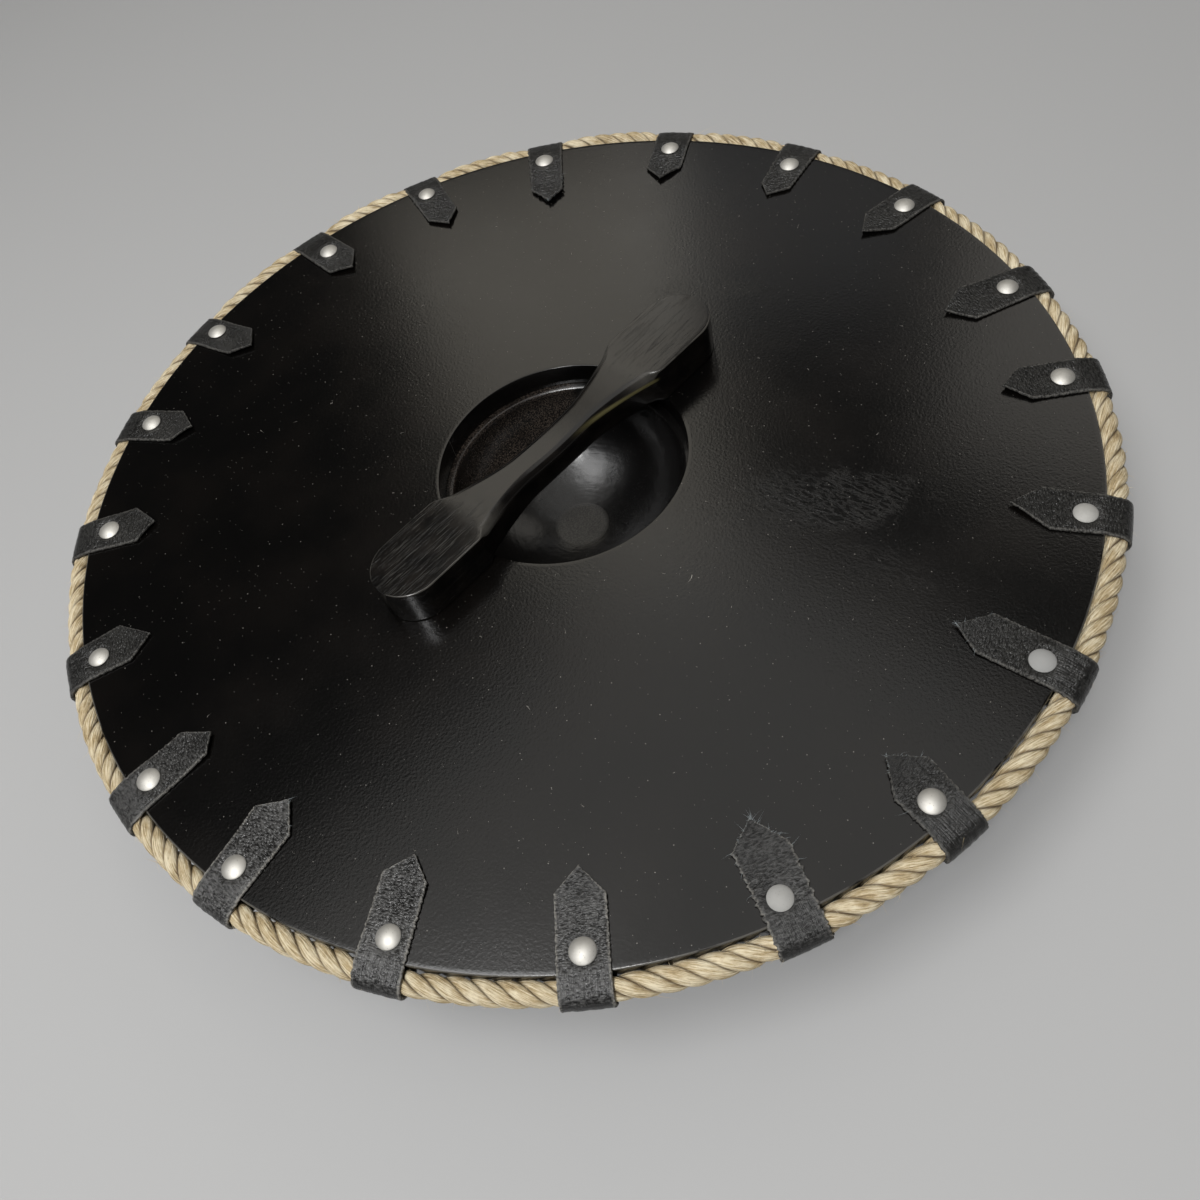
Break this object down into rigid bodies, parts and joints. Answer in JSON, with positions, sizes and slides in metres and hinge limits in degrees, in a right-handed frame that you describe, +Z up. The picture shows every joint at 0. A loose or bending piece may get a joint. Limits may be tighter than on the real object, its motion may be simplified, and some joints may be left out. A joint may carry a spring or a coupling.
{
  "type": "wooden round shield",
  "caption": "Flat round wooden shield with a rope edging held by riveted leather clips, a turned wooden boss and a carved handle across the hand hole.",
  "frame": {"origin": "middle of the boss's flat foot, on the surface that the shield lies on, face down", "axes": "+Z up, out of the shield's back; +X along the handle; +Y across it"},
  "size_m": [0.6269, 0.6256, 0.1],
  "materials": {
    "painted_wood": "semi-gloss black paint over flat wood, crackled in patches, dusty",
    "turned_wood": "satin black stain on turned wood",
    "stained_wood": "satin black stain on carved wood, worn smooth on the grip, open grain on the ends",
    "natural_rope": "three-strand straw-coloured fibre rope, slightly hairy",
    "black_leather": "dull black pebbled leather with paler cut edges",
    "nickel_plate": "satin nickel-plated steel, slightly spotted"
  },
  "bodies": {
    "root": {"board": "painted_wood", "boss": "turned_wood", "handle": "stained_wood", "rope": "natural_rope", "clip_01": "black_leather", "clip_02": "black_leather", "clip_03": "black_leather", "clip_04": "black_leather", "clip_05": "black_leather", "clip_06": "black_leather", "clip_07": "black_leather", "clip_08": "black_leather", "clip_09": "black_leather", "clip_10": "black_leather", "clip_11": "black_leather", "clip_12": "black_leather", "clip_13": "black_leather", "clip_14": "black_leather", "clip_15": "black_leather", "clip_16": "black_leather", "clip_17": "black_leather", "clip_18": "black_leather", "clip_19": "black_leather", "clip_20": "black_leather", "rivet_01": "nickel_plate", "rivet_02": "nickel_plate", "rivet_03": "nickel_plate", "rivet_04": "nickel_plate", "rivet_05": "nickel_plate", "rivet_06": "nickel_plate", "rivet_07": "nickel_plate", "rivet_08": "nickel_plate", "rivet_09": "nickel_plate", "rivet_10": "nickel_plate", "rivet_11": "nickel_plate", "rivet_12": "nickel_plate", "rivet_13": "nickel_plate", "rivet_14": "nickel_plate", "rivet_15": "nickel_plate", "rivet_16": "nickel_plate", "rivet_17": "nickel_plate", "rivet_18": "nickel_plate", "rivet_19": "nickel_plate", "rivet_20": "nickel_plate"}
  },
  "joints": []
}
